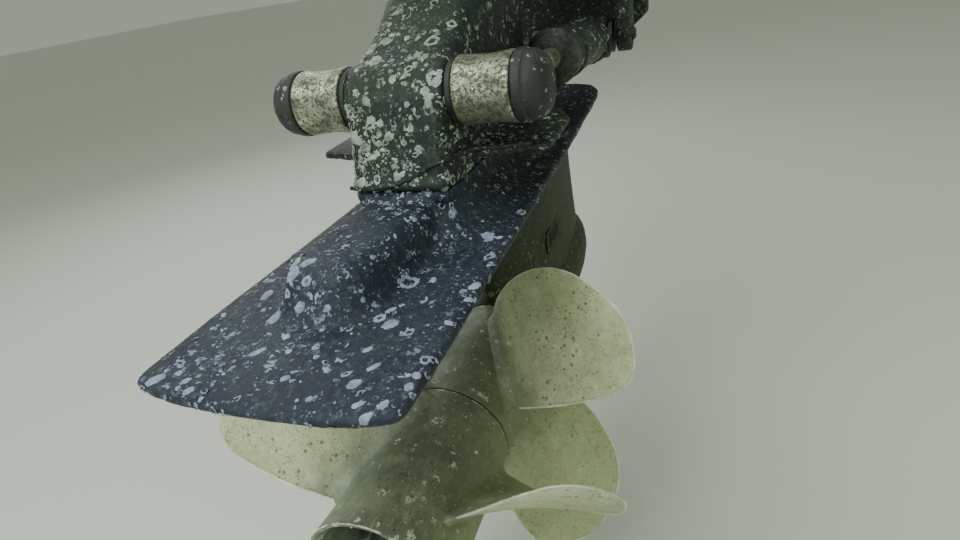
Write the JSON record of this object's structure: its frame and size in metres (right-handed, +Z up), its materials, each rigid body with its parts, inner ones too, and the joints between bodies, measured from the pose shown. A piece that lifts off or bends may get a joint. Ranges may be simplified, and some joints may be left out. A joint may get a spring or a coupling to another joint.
{
  "type": "stern drive with twin propellers",
  "caption": "Motor-boat stern drive: transom shield, steering fork, tilting leg with a wide flat plate, trim rams and contra-rotating propellers on one axis.",
  "frame": {"origin": "on the flat face of the transom shield that bolts to the boat's transom, on its centreline, below the shaft opening", "axes": "+Y out of the mounting face towards the boat's bow, +Z up, +X to starboard"},
  "size_m": [0.3453, 0.7915, 0.8775],
  "materials": {
    "leg_paint": "old black antifouling paint, with pale barnacle scars",
    "plate_paint": "blue-black paint, with pale round barnacle scars",
    "dark_steel": "dull dark steel",
    "ram_steel": "bare bright metal with dark pits and a yellow-green tinge",
    "blade_bronze": "pale olive-grey film on metal, mottled and specked",
    "black_rubber": "matt black",
    "anode_metal": "dull pitted grey"
  },
  "bodies": {
    "transom_bracket": {"transom_shield": "leg_paint", "upper_swivel_pin": "dark_steel", "lower_swivel_pin": "dark_steel", "shield_anode": "anode_metal"},
    "steering_fork": {"steering_fork": "leg_paint", "port_tilt_pin": "dark_steel", "starboard_tilt_pin": "dark_steel", "fork_ram_pin": "dark_steel", "driveshaft_boot": "black_rubber"},
    "leg": {"bell_housing": "leg_paint", "upper_gear_housing": "leg_paint", "top_cover": "leg_paint", "driveshaft_housing": "leg_paint", "gearcase": "plate_paint", "port_water_inlet": "leg_paint", "starboard_water_inlet": "leg_paint", "plate_anode": "anode_metal", "cross_pin": "dark_steel", "port_pin_washer": "black_rubber", "starboard_pin_washer": "black_rubber", "port_pin_cap": "black_rubber", "starboard_pin_cap": "black_rubber"},
    "front_propeller": {"front_propeller": "blade_bronze", "outer_shaft": "dark_steel", "front_propeller_nut": "dark_steel"},
    "rear_propeller": {"rear_propeller": "blade_bronze", "inner_shaft": "dark_steel", "rear_propeller_nut": "dark_steel"},
    "port_rod": {"port_rod": "ram_steel"},
    "port_cylinder": {"port_barrel": "leg_paint", "port_gland": "dark_steel"},
    "starboard_rod": {"starboard_rod": "ram_steel"},
    "starboard_cylinder": {"starboard_barrel": "leg_paint", "starboard_gland": "dark_steel"}
  },
  "joints": [
    {"name": "steer", "type": "hinge", "parent": "transom_bracket", "child": "steering_fork", "pos_m": [0, -0.12, 0.1], "axis": [0, 0, 1], "range_deg": [-28, 28]},
    {"name": "tilt", "type": "hinge", "parent": "steering_fork", "child": "leg", "pos_m": [0, -0.12, 0.1], "axis": [-1, 0, 0], "range_deg": [-5, 45], "deforming": ["driveshaft_boot"]},
    {"name": "front_spin", "type": "hinge", "parent": "leg", "child": "front_propeller", "pos_m": [0, -0.445, -0.4105], "axis": [0, 1, 0], "continuous": true},
    {"name": "rear_spin", "type": "hinge", "parent": "leg", "child": "rear_propeller", "pos_m": [0, -0.589, -0.4105], "axis": [0, 1, 0], "continuous": true},
    {"name": "port_rod_pivot", "type": "hinge", "parent": "leg", "child": "port_rod", "pos_m": [-0.07, -0.54, -0.1], "axis": [-1, 0, 0], "range_deg": [-10, 2]},
    {"name": "port_ram_slide", "type": "slide", "parent": "port_rod", "child": "port_cylinder", "axis": [0, 0.9971, -0.076], "range_m": [-0.02, 0.17]},
    {"name": "starboard_rod_pivot", "type": "hinge", "parent": "leg", "child": "starboard_rod", "pos_m": [0.07, -0.54, -0.1], "axis": [-1, 0, 0], "range_deg": [-10, 2]},
    {"name": "starboard_ram_slide", "type": "slide", "parent": "starboard_rod", "child": "starboard_cylinder", "axis": [0, 0.9971, -0.076], "range_m": [-0.02, 0.17]}
  ],
  "couplings": [
    {"joint": "rear_spin", "follows": "front_spin", "ratio": -1},
    {"joint": "port_rod_pivot", "follows": "tilt", "ratio": -0.159},
    {"joint": "starboard_rod_pivot", "follows": "tilt", "ratio": -0.159},
    {"joint": "port_ram_slide", "follows": "tilt", "m_per_rad": 0.214},
    {"joint": "starboard_ram_slide", "follows": "tilt", "m_per_rad": 0.214}
  ]
}
